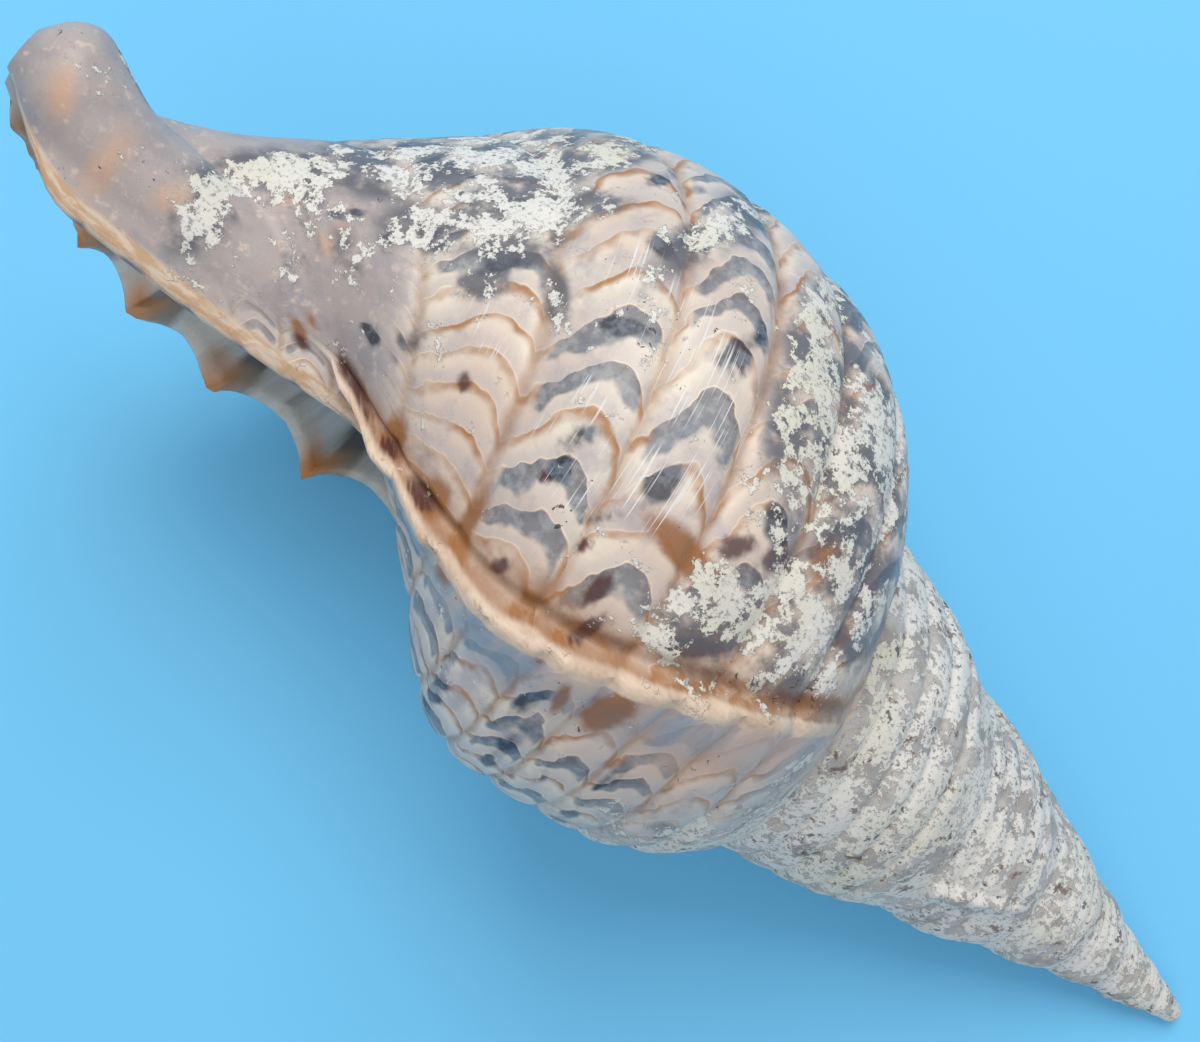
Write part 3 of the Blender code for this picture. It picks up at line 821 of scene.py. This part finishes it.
colours = {
    "cream": tone(232, 219, 202),
    "peach": tone(222, 200, 182),
    "lilac": tone(176, 168, 170),
    "scaleBack": tone(190, 178, 176),
    "tan": tone(170, 116, 68),
    "groove": tone(158, 116, 84),
    "slate": tone(92, 102, 116),
    "slateDark": tone(38, 44, 58),
    "slatePale": tone(138, 144, 152),
    "smoothBlue": tone(150, 158, 172),
    "smoothTan": tone(204, 178, 164),
    "maroon": tone(72, 34, 38),
    "stain": tone(150, 96, 50),
    "rimStain": tone(166, 116, 72),
    "amber": tone(212, 166, 132),
    "mauve": tone(176, 164, 160),
    "mauveGrey": tone(160, 152, 154),
    "mauvePale": tone(206, 186, 176),
    "scratch": tone(226, 228, 230),
    "chalk": tone(228, 225, 219),
    "chalkGreen": tone(218, 213, 190),
    "chalkGrey": tone(158, 156, 154),
    "underChalk": tone(88, 90, 100),
    "wearPale": tone(192, 190, 187),
    "wearGrey": tone(160, 158, 158),
    "wearSand": tone(204, 186, 160),
    "wearTan": tone(176, 140, 112),
    "rust": tone(104, 72, 62),
    "holes": tone(74, 76, 84),
    "pit": tone(58, 38, 34),
    "bone": tone(222, 200, 178),
    "boneDark": tone(200, 172, 150),
    "bonePale": tone(232, 214, 190),
    # painted shade: the dark brown laid in the furrow behind each old lip
    "shadedFurrow": tone(96, 58, 36),
    "bandTan": tone(202, 164, 130),
    "bandBlue": tone(120, 128, 146),
    "dash": tone(92, 102, 122),
    "tooth": tone(206, 132, 58),
    "porcelain": tone(206, 214, 218),
    "porcelainGrey": tone(186, 192, 194),
    "porcelainDark": tone(84, 84, 84),
    "lip": tone(224, 206, 180),
}

# The noises that break up the finishes: cells in a metre, detail, roughness and distortion
grain = {
    "warp": (55.0, 3.0),
    "wander": (150.0, 2.0),
    "broad": (28.0, 3.0),
    "mottle": (110.0, 4.0, 0.6),
    "fineMottle": (380.0, 3.0, 0.6),
    "fade": (75.0, 3.0, 0.6),
    "flakes": (120.0, 6.0, 0.74),
    "smallFlakes": (420.0, 4.0, 0.7),
    "crust": (900.0, 4.0, 0.7),
    "patches": (48.0, 3.0),
    "specks": (620.0, 3.0, 0.65, 0.6),
    "rust": (170.0, 4.0, 0.7, 0.4),
    "holes": (240.0, 5.0, 0.7),
    "insideMottle": (120.0, 4.0, 0.6),
}

# The same along the spiral: cells in a turn and in a whorl's width, detail, roughness, and the lean
spiralGrain = {
    "streaks": (7.0, 9.0, 4.0, 0.65),
    "strands": (110.0, 9.0, 4.0, 0.6),
    "insideStreaks": (5.0, 22.0, 3.0, 0.6),
    "scratch": (16.0, 150.0, 2.0, 0.6, 0.55),
}

# Where a mask is cut off, low and high, and how far a noise moves its edge
cuts = {
    "blotch": (0.10, 0.65, 0.7),
    "amber": (0.10, 1.10, 0.8),
    "slate": (0.22, 0.80, 0.9),
    "stain": (0.25, 0.85, 0.9),
    "rimStain": (0.35, 1.0, 0.9),
    "maroon": (0.20, 0.80, 1.1),
    "flakes": (0.46, 0.58, 4.4),
    "holes": (0.60, 0.74, 2.6),
    "dash": (0.25, 0.80, 0.7),
    "bar": (0.15, 0.75, 0.5),
}

# How dense each finish is laid on
density = {
    "lilac": 0.80,
    "scaleBack": 0.5,
    "blotch": 0.80,
    "amber": 0.62,
    "smooth": 0.8,
    "slate": 0.9,
    "stain": 0.9,
    "rimStain": 0.75,
    "maroon": 0.85,
    "scratch": 0.85,
    "chalkGreen": 0.6,
    "wearTan": 0.35,
    "wear": 0.9,
    "flakes": 0.92,
    "rust": 0.75,
    "holes": 0.85,
    "pit": 0.85,
    "shadedFurrow": 0.8,
    "dash": 0.85,
    "tooth": 0.8,
    "bar": 0.92,
    "lip": 0.35,
}

# Roughness as noise * first + second, the bump's strength and distance, and the heights in it
gloss = {
    "specular": 0.45,
    "outsideRough": (0.25, 0.32),
    "crustRough": 0.85,
    "outsideBump": (0.7, 0.0006),
    "insideRough": (0.2, 0.16),
    "insideBump": (0.4, 0.0004),
    "grain": 0.22,
    "flakes": 0.55,
    "pits": -0.8,
    "outline": 0.18,
    "groove": -0.35,
    "mottle": 0.3,
}

# The arched scales on the ribs, in parts of a rib's width and of a scale's length
scales = {
    "length": 0.0255,            # in turns
    "crest": 0.45,               # how far across its rib an arc reaches furthest
    "lowArc": (2.2, 0.65),       # the arc's power and depth on either side of that
    "highArc": (1.6, 1.35),
    "offset": 7.0,               # each rib's own, times a random share
    "warp": 1.5,
    "wander": 0.35,
    "bend": 0.03,
    "blotchless": 0.46,          # share of scales with no blotch, and how much more on the newest ribs
    "blotchlessNew": 0.14,
}


class nodeMaker:
    # builds one node tree: a call adds a node, sets or links its inputs, and gives its output

    def __init__(self, tree):
        self.tree = tree

    def link(self, source, target):
        if isinstance(source, (int, float, tuple)):
            target.default_value = source
        else:
            self.tree.links.new(source, target)

    def add(self, kind, *sources):
        node = self.tree.nodes.new("ShaderNode" + kind)
        for source, target in zip(sources, node.inputs):
            self.link(source, target)
        return node

    def calc(self, operation, *sources):
        node = self.add("Math", *sources)
        node.operation = operation
        return node.outputs[0]

    def times(self, first, second):
        return self.calc("MULTIPLY", first, second)

    def minus(self, first, second):
        return self.calc("SUBTRACT", first, second)

    def scaled(self, source, factor, offset):
        # source * factor + offset
        return self.calc("MULTIPLY_ADD", source, factor, offset)

    def ramp(self, source, low, high):
        # smoothly from 0 at low to 1 at high
        node = self.add("MapRange", source, low, high)
        node.interpolation_type = "SMOOTHSTEP"
        return node.outputs["Result"]

    def cut(self, cover, texture, low, high, strength):
        # a soft cover with a ragged edge: cover + strength * (texture - 0.5), from low to high
        return self.ramp(self.scaled(self.minus(texture, 0.5), strength, cover), low, high)

    def blend(self, share, first, second):
        node = self.add("Mix")
        node.data_type = "RGBA"
        for source, number in ((share, 0), (first, 6), (second, 7)):
            self.link(source, node.inputs[number])
        return node.outputs[2]

    def lay(self, colour, over, cover, dense):
        # one colour laid on another where its cover is, to a density
        return self.blend(self.times(cover, dense), colour, over)

    def value(self, name):
        node = self.add("Attribute")
        node.attribute_name = name
        return node.outputs["Fac"]

    def dice(self, dimensions, source, socket):
        # a random value for each whole number, or pair of them
        node = self.add("TexWhiteNoise")
        node.noise_dimensions = dimensions
        self.link(source, node.inputs[socket])
        return node.outputs["Value"]

    def join(self, x, y):
        return self.add("CombineXYZ", x, y).outputs[0]

    def noiseAt(self, place, scale, detail=3.0, rough=0.55, warp=0.0):
        node = self.add("TexNoise", place)
        settings = {"Scale": scale, "Detail": detail, "Roughness": rough, "Distortion": warp}
        for label, setting in settings.items():
            node.inputs[label].default_value = setting
        return node.outputs["Fac"]

    def noise(self, kind):
        return self.noiseAt(self.add("TexCoord").outputs["Object"], *grain[kind])

    def spiral(self):
        # turn and station
        node = self.add("UVMap")
        node.uv_map = "spiral"
        return self.add("SeparateXYZ", node.outputs["UV"]).outputs[:2]

    def spiralNoise(self, kind):
        along, around, detail, rough, *lean = spiralGrain[kind]
        turn, station = self.spiral()
        leaning = self.scaled(turn, lean[0], station) if lean else station
        place = self.join(self.times(turn, along), self.times(leaning, around))
        return self.noiseAt(place, 1.0, detail, rough)

    def bump(self, shader, height, strength, distance):
        node = self.add("Bump")
        node.inputs["Strength"].default_value = strength
        node.inputs["Distance"].default_value = distance
        self.link(height, node.inputs["Height"])
        self.link(node.outputs["Normal"], shader.inputs["Normal"])


def makeGroup(name, build):
    # a node group that puts out the values that the function works out
    tree = bpy.data.node_groups.new(name, "ShaderNodeTree")
    parts = build(nodeMaker(tree))
    for label in parts:
        tree.interface.new_socket(label, in_out="OUTPUT", socket_type="NodeSocketFloat")
    out = tree.nodes.new("NodeGroupOutput")
    for label, source in parts.items():
        tree.links.new(source, out.inputs[label])
    return tree


def ribScales(nodes):
    # arched scales on each rib: the front of a scale is an arc across the rib, furthest along at
    # the crest, and the spaces between arcs are counted along the growth
    turn, station = nodes.spiral()
    warp = nodes.minus(nodes.noise("warp"), 0.5)
    wander = nodes.minus(nodes.noise("wander"), 0.5)
    ridge = nodes.scaled(station, form["varixLean"], form["varixTurns"][0])
    newer = nodes.calc("GREATER_THAN", turn, ridge)
    pitch = nodes.scaled(newer, form["ribPitchNew"] - form["ribPitchOld"], form["ribPitchOld"])
    first = nodes.scaled(newer, form["ribPlaceNew"] - form["ribPlaceOld"], form["ribPlaceOld"])
    bent = nodes.scaled(wander, scales["bend"], station)
    phase = nodes.calc("DIVIDE", nodes.minus(bent, first), pitch)
    rib = nodes.calc("FLOOR", phase)
    part = nodes.calc("FRACT", phase)
    crest = scales["crest"]
    low = nodes.calc("MAXIMUM", nodes.calc("DIVIDE", nodes.minus(crest, part), crest), 0.0)
    high = nodes.calc("MAXIMUM", nodes.calc("DIVIDE", nodes.minus(part, crest), 1.0 - crest), 0.0)
    arcs = [nodes.times(nodes.calc("POWER", side, power), depth)
            for side, (power, depth) in ((low, scales["lowArc"]), (high, scales["highArc"]))]
    along = nodes.scaled(turn, 1.0 / scales["length"], nodes.calc("ADD", *arcs))
    along = nodes.scaled(nodes.dice("1D", nodes.scaled(newer, 31.0, rib), "W"), scales["offset"], along)
    along = nodes.scaled(warp, scales["warp"], along)
    along = nodes.scaled(wander, scales["wander"], along)
    cell = nodes.calc("FRACT", along)
    pick = nodes.dice("2D", nodes.join(rib, nodes.calc("FLOOR", along)), "Vector")
    chosen = nodes.calc("GREATER_THAN", pick,
                        nodes.scaled(newer, scales["blotchlessNew"], scales["blotchless"]))
    away = nodes.calc("ABSOLUTE", nodes.minus(part, 0.5))
    front = nodes.times(nodes.ramp(cell, 0.25, 0.70), nodes.minus(1.0, nodes.ramp(cell, 0.90, 1.0)))
    front = nodes.times(front, nodes.minus(1.0, nodes.ramp(away, 0.30, 0.46)))
    return {
        "Outline": nodes.times(nodes.ramp(cell, 0.60, 0.90),
                               nodes.minus(1.0, nodes.ramp(cell, 0.92, 1.0))),
        "Blotch": nodes.times(front, chosen),
        "Groove": nodes.ramp(away, 0.40, 0.49),
        "Along": cell,
        "Front": front,
    }


def chalkCrust(nodes):
    # ragged flakes: sums of noise cut off at a level
    patch = nodes.ramp(nodes.noise("patches"), 0.50, 0.68)
    return {
        "Flakes": nodes.scaled(nodes.noise("smallFlakes"), 0.30, nodes.times(nodes.noise("flakes"), 0.70)),
        "Grain": nodes.noise("crust"),
        "Pits": nodes.ramp(nodes.scaled(patch, 0.13, nodes.noise("specks")), 0.755, 0.80),
    }


def scratchLines(nodes):
    # thin pale lines along the spiral: noise drawn out along the growth and cut off at a level
    return {"Lines": nodes.ramp(nodes.spiralNoise("scratch"), 0.57, 0.66)}


scalesGroup = makeGroup("ribScales", ribScales)
crustGroup = makeGroup("chalkCrust", chalkCrust)
scratchGroup = makeGroup("scratchLines", scratchLines)


def newMaterial(name):
    material = bpy.data.materials.new(name)
    material.use_nodes = True
    return material, nodeMaker(material.node_tree), material.node_tree.nodes["Principled BSDF"]


def useGroup(nodes, inner):
    node = nodes.add("Group")
    node.node_tree = inner
    return node.outputs


def makeOutside():
    material, nodes, shader = newMaterial("shellOutside")
    scale = useGroup(nodes, scalesGroup)
    crust = useGroup(nodes, crustGroup)
    lines = useGroup(nodes, scratchGroup)["Lines"]
    worn = nodes.value("worn")
    plain = nodes.value("plain")
    chalk = nodes.value("chalk")
    broad = nodes.noise("broad")
    mottle = nodes.noise("mottle")
    fineMottle = nodes.noise("fineMottle")

    def lay(colour, kind, cover, over=None):
        return nodes.lay(colour, colours[kind] if over is None else over, cover, density[kind])

    def layCut(colour, kind, cover, over=None):
        return lay(colour, kind, nodes.cut(cover, mottle, *cuts[kind]), over)

    # cream with outlined scales, brown grooves and slate blotches
    colour = nodes.blend(nodes.ramp(broad, 0.40, 0.62), colours["cream"], colours["peach"])
    colour = lay(colour, "lilac", nodes.ramp(mottle, 0.46, 0.68))
    pattern = nodes.minus(1.0, nodes.calc("MAXIMUM", plain, nodes.times(worn, 0.75)))
    colour = lay(colour, "scaleBack", nodes.minus(1.0, nodes.ramp(scale["Along"], 0.1, 0.6)))
    fade = nodes.ramp(nodes.noise("fade"), 0.34, 0.62)
    outline = nodes.times(scale["Outline"], nodes.scaled(fade, 0.75, 0.20))
    colour = nodes.lay(colour, colours["tan"], outline, pattern)
    groove = nodes.times(nodes.times(scale["Groove"], pattern), mottle)
    colour = nodes.blend(groove, colour, colours["groove"])
    blotch = nodes.cut(nodes.times(scale["Blotch"], pattern), mottle, *cuts["blotch"])
    blotchTone = nodes.blend(nodes.ramp(fineMottle, 0.40, 0.64), colours["slate"], colours["slatePale"])
    colour = lay(colour, "blotch", nodes.times(blotch, pattern), blotchTone)

    # the bare base and canal are mauve with amber blotches
    bare = nodes.blend(nodes.ramp(mottle, 0.42, 0.66), colours["mauve"], colours["mauveGrey"])
    bare = nodes.blend(nodes.ramp(fineMottle, 0.55, 0.75), bare, colours["mauvePale"])
    colour = nodes.blend(plain, colour, bare)
    colour = layCut(colour, "amber", nodes.value("amber"))

    # before the last old lip the surface is smooth and bluish, with tan streaks
    streaks = nodes.ramp(nodes.spiralNoise("streaks"), 0.38, 0.60)
    smooth = nodes.blend(streaks, colours["smoothBlue"], colours["smoothTan"])
    colour = lay(colour, "smooth", nodes.ramp(nodes.value("approach"), 0.30, 0.75), smooth)

    # single marks and stains
    bounded = nodes.times(nodes.value("slate"), nodes.scaled(scale["Front"], 0.70, 0.58))
    slateTone = nodes.blend(nodes.ramp(fineMottle, 0.42, 0.60), colours["slateDark"], colours["slate"])
    colour = layCut(colour, "slate", bounded, slateTone)
    for kind in ("stain", "rimStain", "maroon"):
        colour = layCut(colour, kind, nodes.value(kind))
    colour = lay(colour, "scratch", nodes.times(lines, nodes.ramp(nodes.value("scratch"), 0.15, 0.6)))

    # the worn spire, and chalk over dark ground
    wear = nodes.blend(nodes.ramp(mottle, 0.40, 0.62), colours["wearPale"], colours["wearGrey"])
    wear = nodes.blend(nodes.ramp(fineMottle, 0.60, 0.72), wear, colours["wearSand"])
    wear = lay(wear, "wearTan", outline)
    colour = lay(colour, "wear", worn, wear)
    ground = nodes.times(nodes.ramp(chalk, 0.05, 0.6), nodes.ramp(mottle, 0.36, 0.58))
    colour = nodes.lay(colour, colours["underChalk"], ground, nodes.scaled(worn, -0.65, 0.85))
    cover = nodes.calc("MAXIMUM", nodes.scaled(chalk, 0.54, 0.09), nodes.times(worn, 0.66))
    flakes = nodes.cut(cover, crust["Flakes"], *cuts["flakes"])
    chalkTone = lay(colours["chalk"], "chalkGreen", nodes.ramp(broad, 0.45, 0.65))
    chalkTone = nodes.blend(nodes.ramp(crust["Grain"], 0.52, 0.66), chalkTone, colours["chalkGrey"])
    colour = lay(colour, "flakes", flakes, chalkTone)
    colour = lay(colour, "rust", nodes.times(nodes.ramp(nodes.noise("rust"), 0.60, 0.66), worn))
    colour = lay(colour, "holes", nodes.cut(nodes.times(cover, 0.5), nodes.noise("holes"), *cuts["holes"]))
    colour = lay(colour, "pit", crust["Pits"])

    # edges: the old lips' free edges, painted shade in the furrows, the inner lip's band, the lip's teeth
    bone = nodes.blend(nodes.ramp(mottle, 0.36, 0.72), colours["bone"], colours["boneDark"])
    colour = nodes.blend(nodes.ramp(nodes.value("edge"), 0.35, 0.75), colour, bone)
    # painted shade: the furrow behind each old lip is darkened, broken up by the mottle
    shadedFurrow = nodes.times(nodes.ramp(nodes.value("shadedFurrow"), 0.35, 1.0), mottle)
    colour = lay(colour, "shadedFurrow", shadedFurrow)
    strands = nodes.ramp(nodes.spiralNoise("strands"), 0.40, 0.60)
    bandTone = nodes.blend(strands, colours["bone"], colours["bandTan"])
    colour = nodes.blend(nodes.ramp(nodes.value("band"), 0.35, 0.75), colour, bandTone)
    colour = layCut(colour, "dash", nodes.value("dash"))
    colour = lay(colour, "tooth", nodes.value("tooth"))
    nodes.link(colour, shader.inputs["Base Color"])

    rough = nodes.scaled(fineMottle, *gloss["outsideRough"])
    crusted = nodes.times(nodes.calc("MAXIMUM", flakes, worn), gloss["crustRough"])
    nodes.link(nodes.calc("MAXIMUM", rough, crusted), shader.inputs["Roughness"])
    nodes.link(gloss["specular"], shader.inputs["Specular IOR Level"])

    heights = {"flakes": flakes, "pits": crust["Pits"], "outline": nodes.times(scale["Outline"], pattern),
               "groove": groove, "mottle": mottle}
    relief = nodes.times(crust["Grain"], gloss["grain"])
    for kind, source in heights.items():
        relief = nodes.scaled(source, gloss[kind], relief)
    nodes.bump(shader, relief, *gloss["outsideBump"])
    return material


def makeInside():
    material, nodes, shader = newMaterial("shellInside")
    streaks = nodes.spiralNoise("insideStreaks")
    mottle = nodes.noise("insideMottle")
    streaked = nodes.ramp(streaks, 0.35, 0.65)
    colour = nodes.blend(streaked, colours["porcelain"], colours["porcelainGrey"])
    bar = nodes.cut(nodes.value("bar"), streaks, *cuts["bar"])
    colour = nodes.lay(colour, colours["porcelainDark"], bar, density["bar"])
    bone = nodes.blend(nodes.ramp(mottle, 0.42, 0.62), colours["bonePale"], colours["bandTan"])
    strands = nodes.ramp(nodes.spiralNoise("strands"), 0.52, 0.60)
    bandTone = nodes.blend(strands, bone, colours["bandBlue"])
    colour = nodes.blend(nodes.ramp(nodes.value("band"), 0.30, 0.65), colour, bandTone)
    colour = nodes.lay(colour, colours["lip"], nodes.value("lip"), density["lip"])
    colour = nodes.blend(nodes.value("tooth"), colour, colours["tooth"])
    nodes.link(colour, shader.inputs["Base Color"])
    nodes.link(nodes.scaled(mottle, *gloss["insideRough"]), shader.inputs["Roughness"])
    nodes.bump(shader, mottle, *gloss["insideBump"])
    return material


mesh.materials.append(makeOutside())
mesh.materials.append(makeInside())
print("finishes made")

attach(shell, "root")
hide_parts("triton_shell")

# Floor, light and camera

stage = {
    "floorTone": tone(119, 204, 250),
    "floorRough": 0.9,
    "floorHalf": 3.0,
    "aim": (0.0, 0.0, 0.05),
    "keyPlace": (-0.38, 0.50, 1.0),
    "keySize": 0.7,
    "keyPower": 9.0,
    "keyColour": (1.0, 0.98, 0.95),
    "fillPlace": (0.6, -0.7, 0.9),
    "fillSize": 1.2,
    "fillPower": 2.0,
    "fillColour": (0.95, 0.97, 1.0),
    "skyPower": 0.50,
    "skyColour": (0.92, 0.96, 1.0, 1.0),
}


def makeCamera():
    # the camera's own axes and place, carried from the shell's frame into the scene's
    back = turned @ cameraBasis().T
    away = np.array([-view["apexRight"], -view["apexUp"], view["distance"]])
    lens = bpy.data.cameras.new("camera")
    lens.lens = view["lens"]
    lens.sensor_width = view["sensor"]
    lens.clip_start = view["nearest"]
    item = addObject("camera", lens)
    item.matrix_world = Matrix.Translation(Vector(back @ away + moved)) @ Matrix(back.tolist()).to_4x4()
    bpy.context.scene.camera = item


def makeFloor():
    half = stage["floorHalf"]
    floorMesh = bpy.data.meshes.new("floor")
    corners = [(-half, -half, 0), (half, -half, 0), (half, half, 0), (-half, half, 0)]
    floorMesh.from_pydata(corners, [], [(0, 1, 2, 3)])
    material, nodes, shader = newMaterial("floor")
    nodes.link(stage["floorTone"], shader.inputs["Base Color"])
    nodes.link(stage["floorRough"], shader.inputs["Roughness"])
    floorMesh.materials.append(material)
    addObject("floor", floorMesh)


def addLight(name):
    lamp = bpy.data.lights.new(name + "Light", "AREA")
    lamp.energy = stage[name + "Power"]
    lamp.size = stage[name + "Size"]
    lamp.color = stage[name + "Colour"]
    item = addObject(name + "Light", lamp)
    item.location = stage[name + "Place"]
    aim = Vector(stage["aim"]) - item.location
    item.rotation_euler = aim.to_track_quat("-Z", "Y").to_euler()


makeCamera()
makeFloor()
addLight("key")
addLight("fill")

world = bpy.data.worlds.new("world")
world.use_nodes = True
sky = world.node_tree.nodes["Background"]
sky.inputs["Color"].default_value = stage["skyColour"]
sky.inputs["Strength"].default_value = stage["skyPower"]
bpy.context.scene.world = world
bpy.context.scene.view_settings.view_transform = "Standard"
print("stage made")
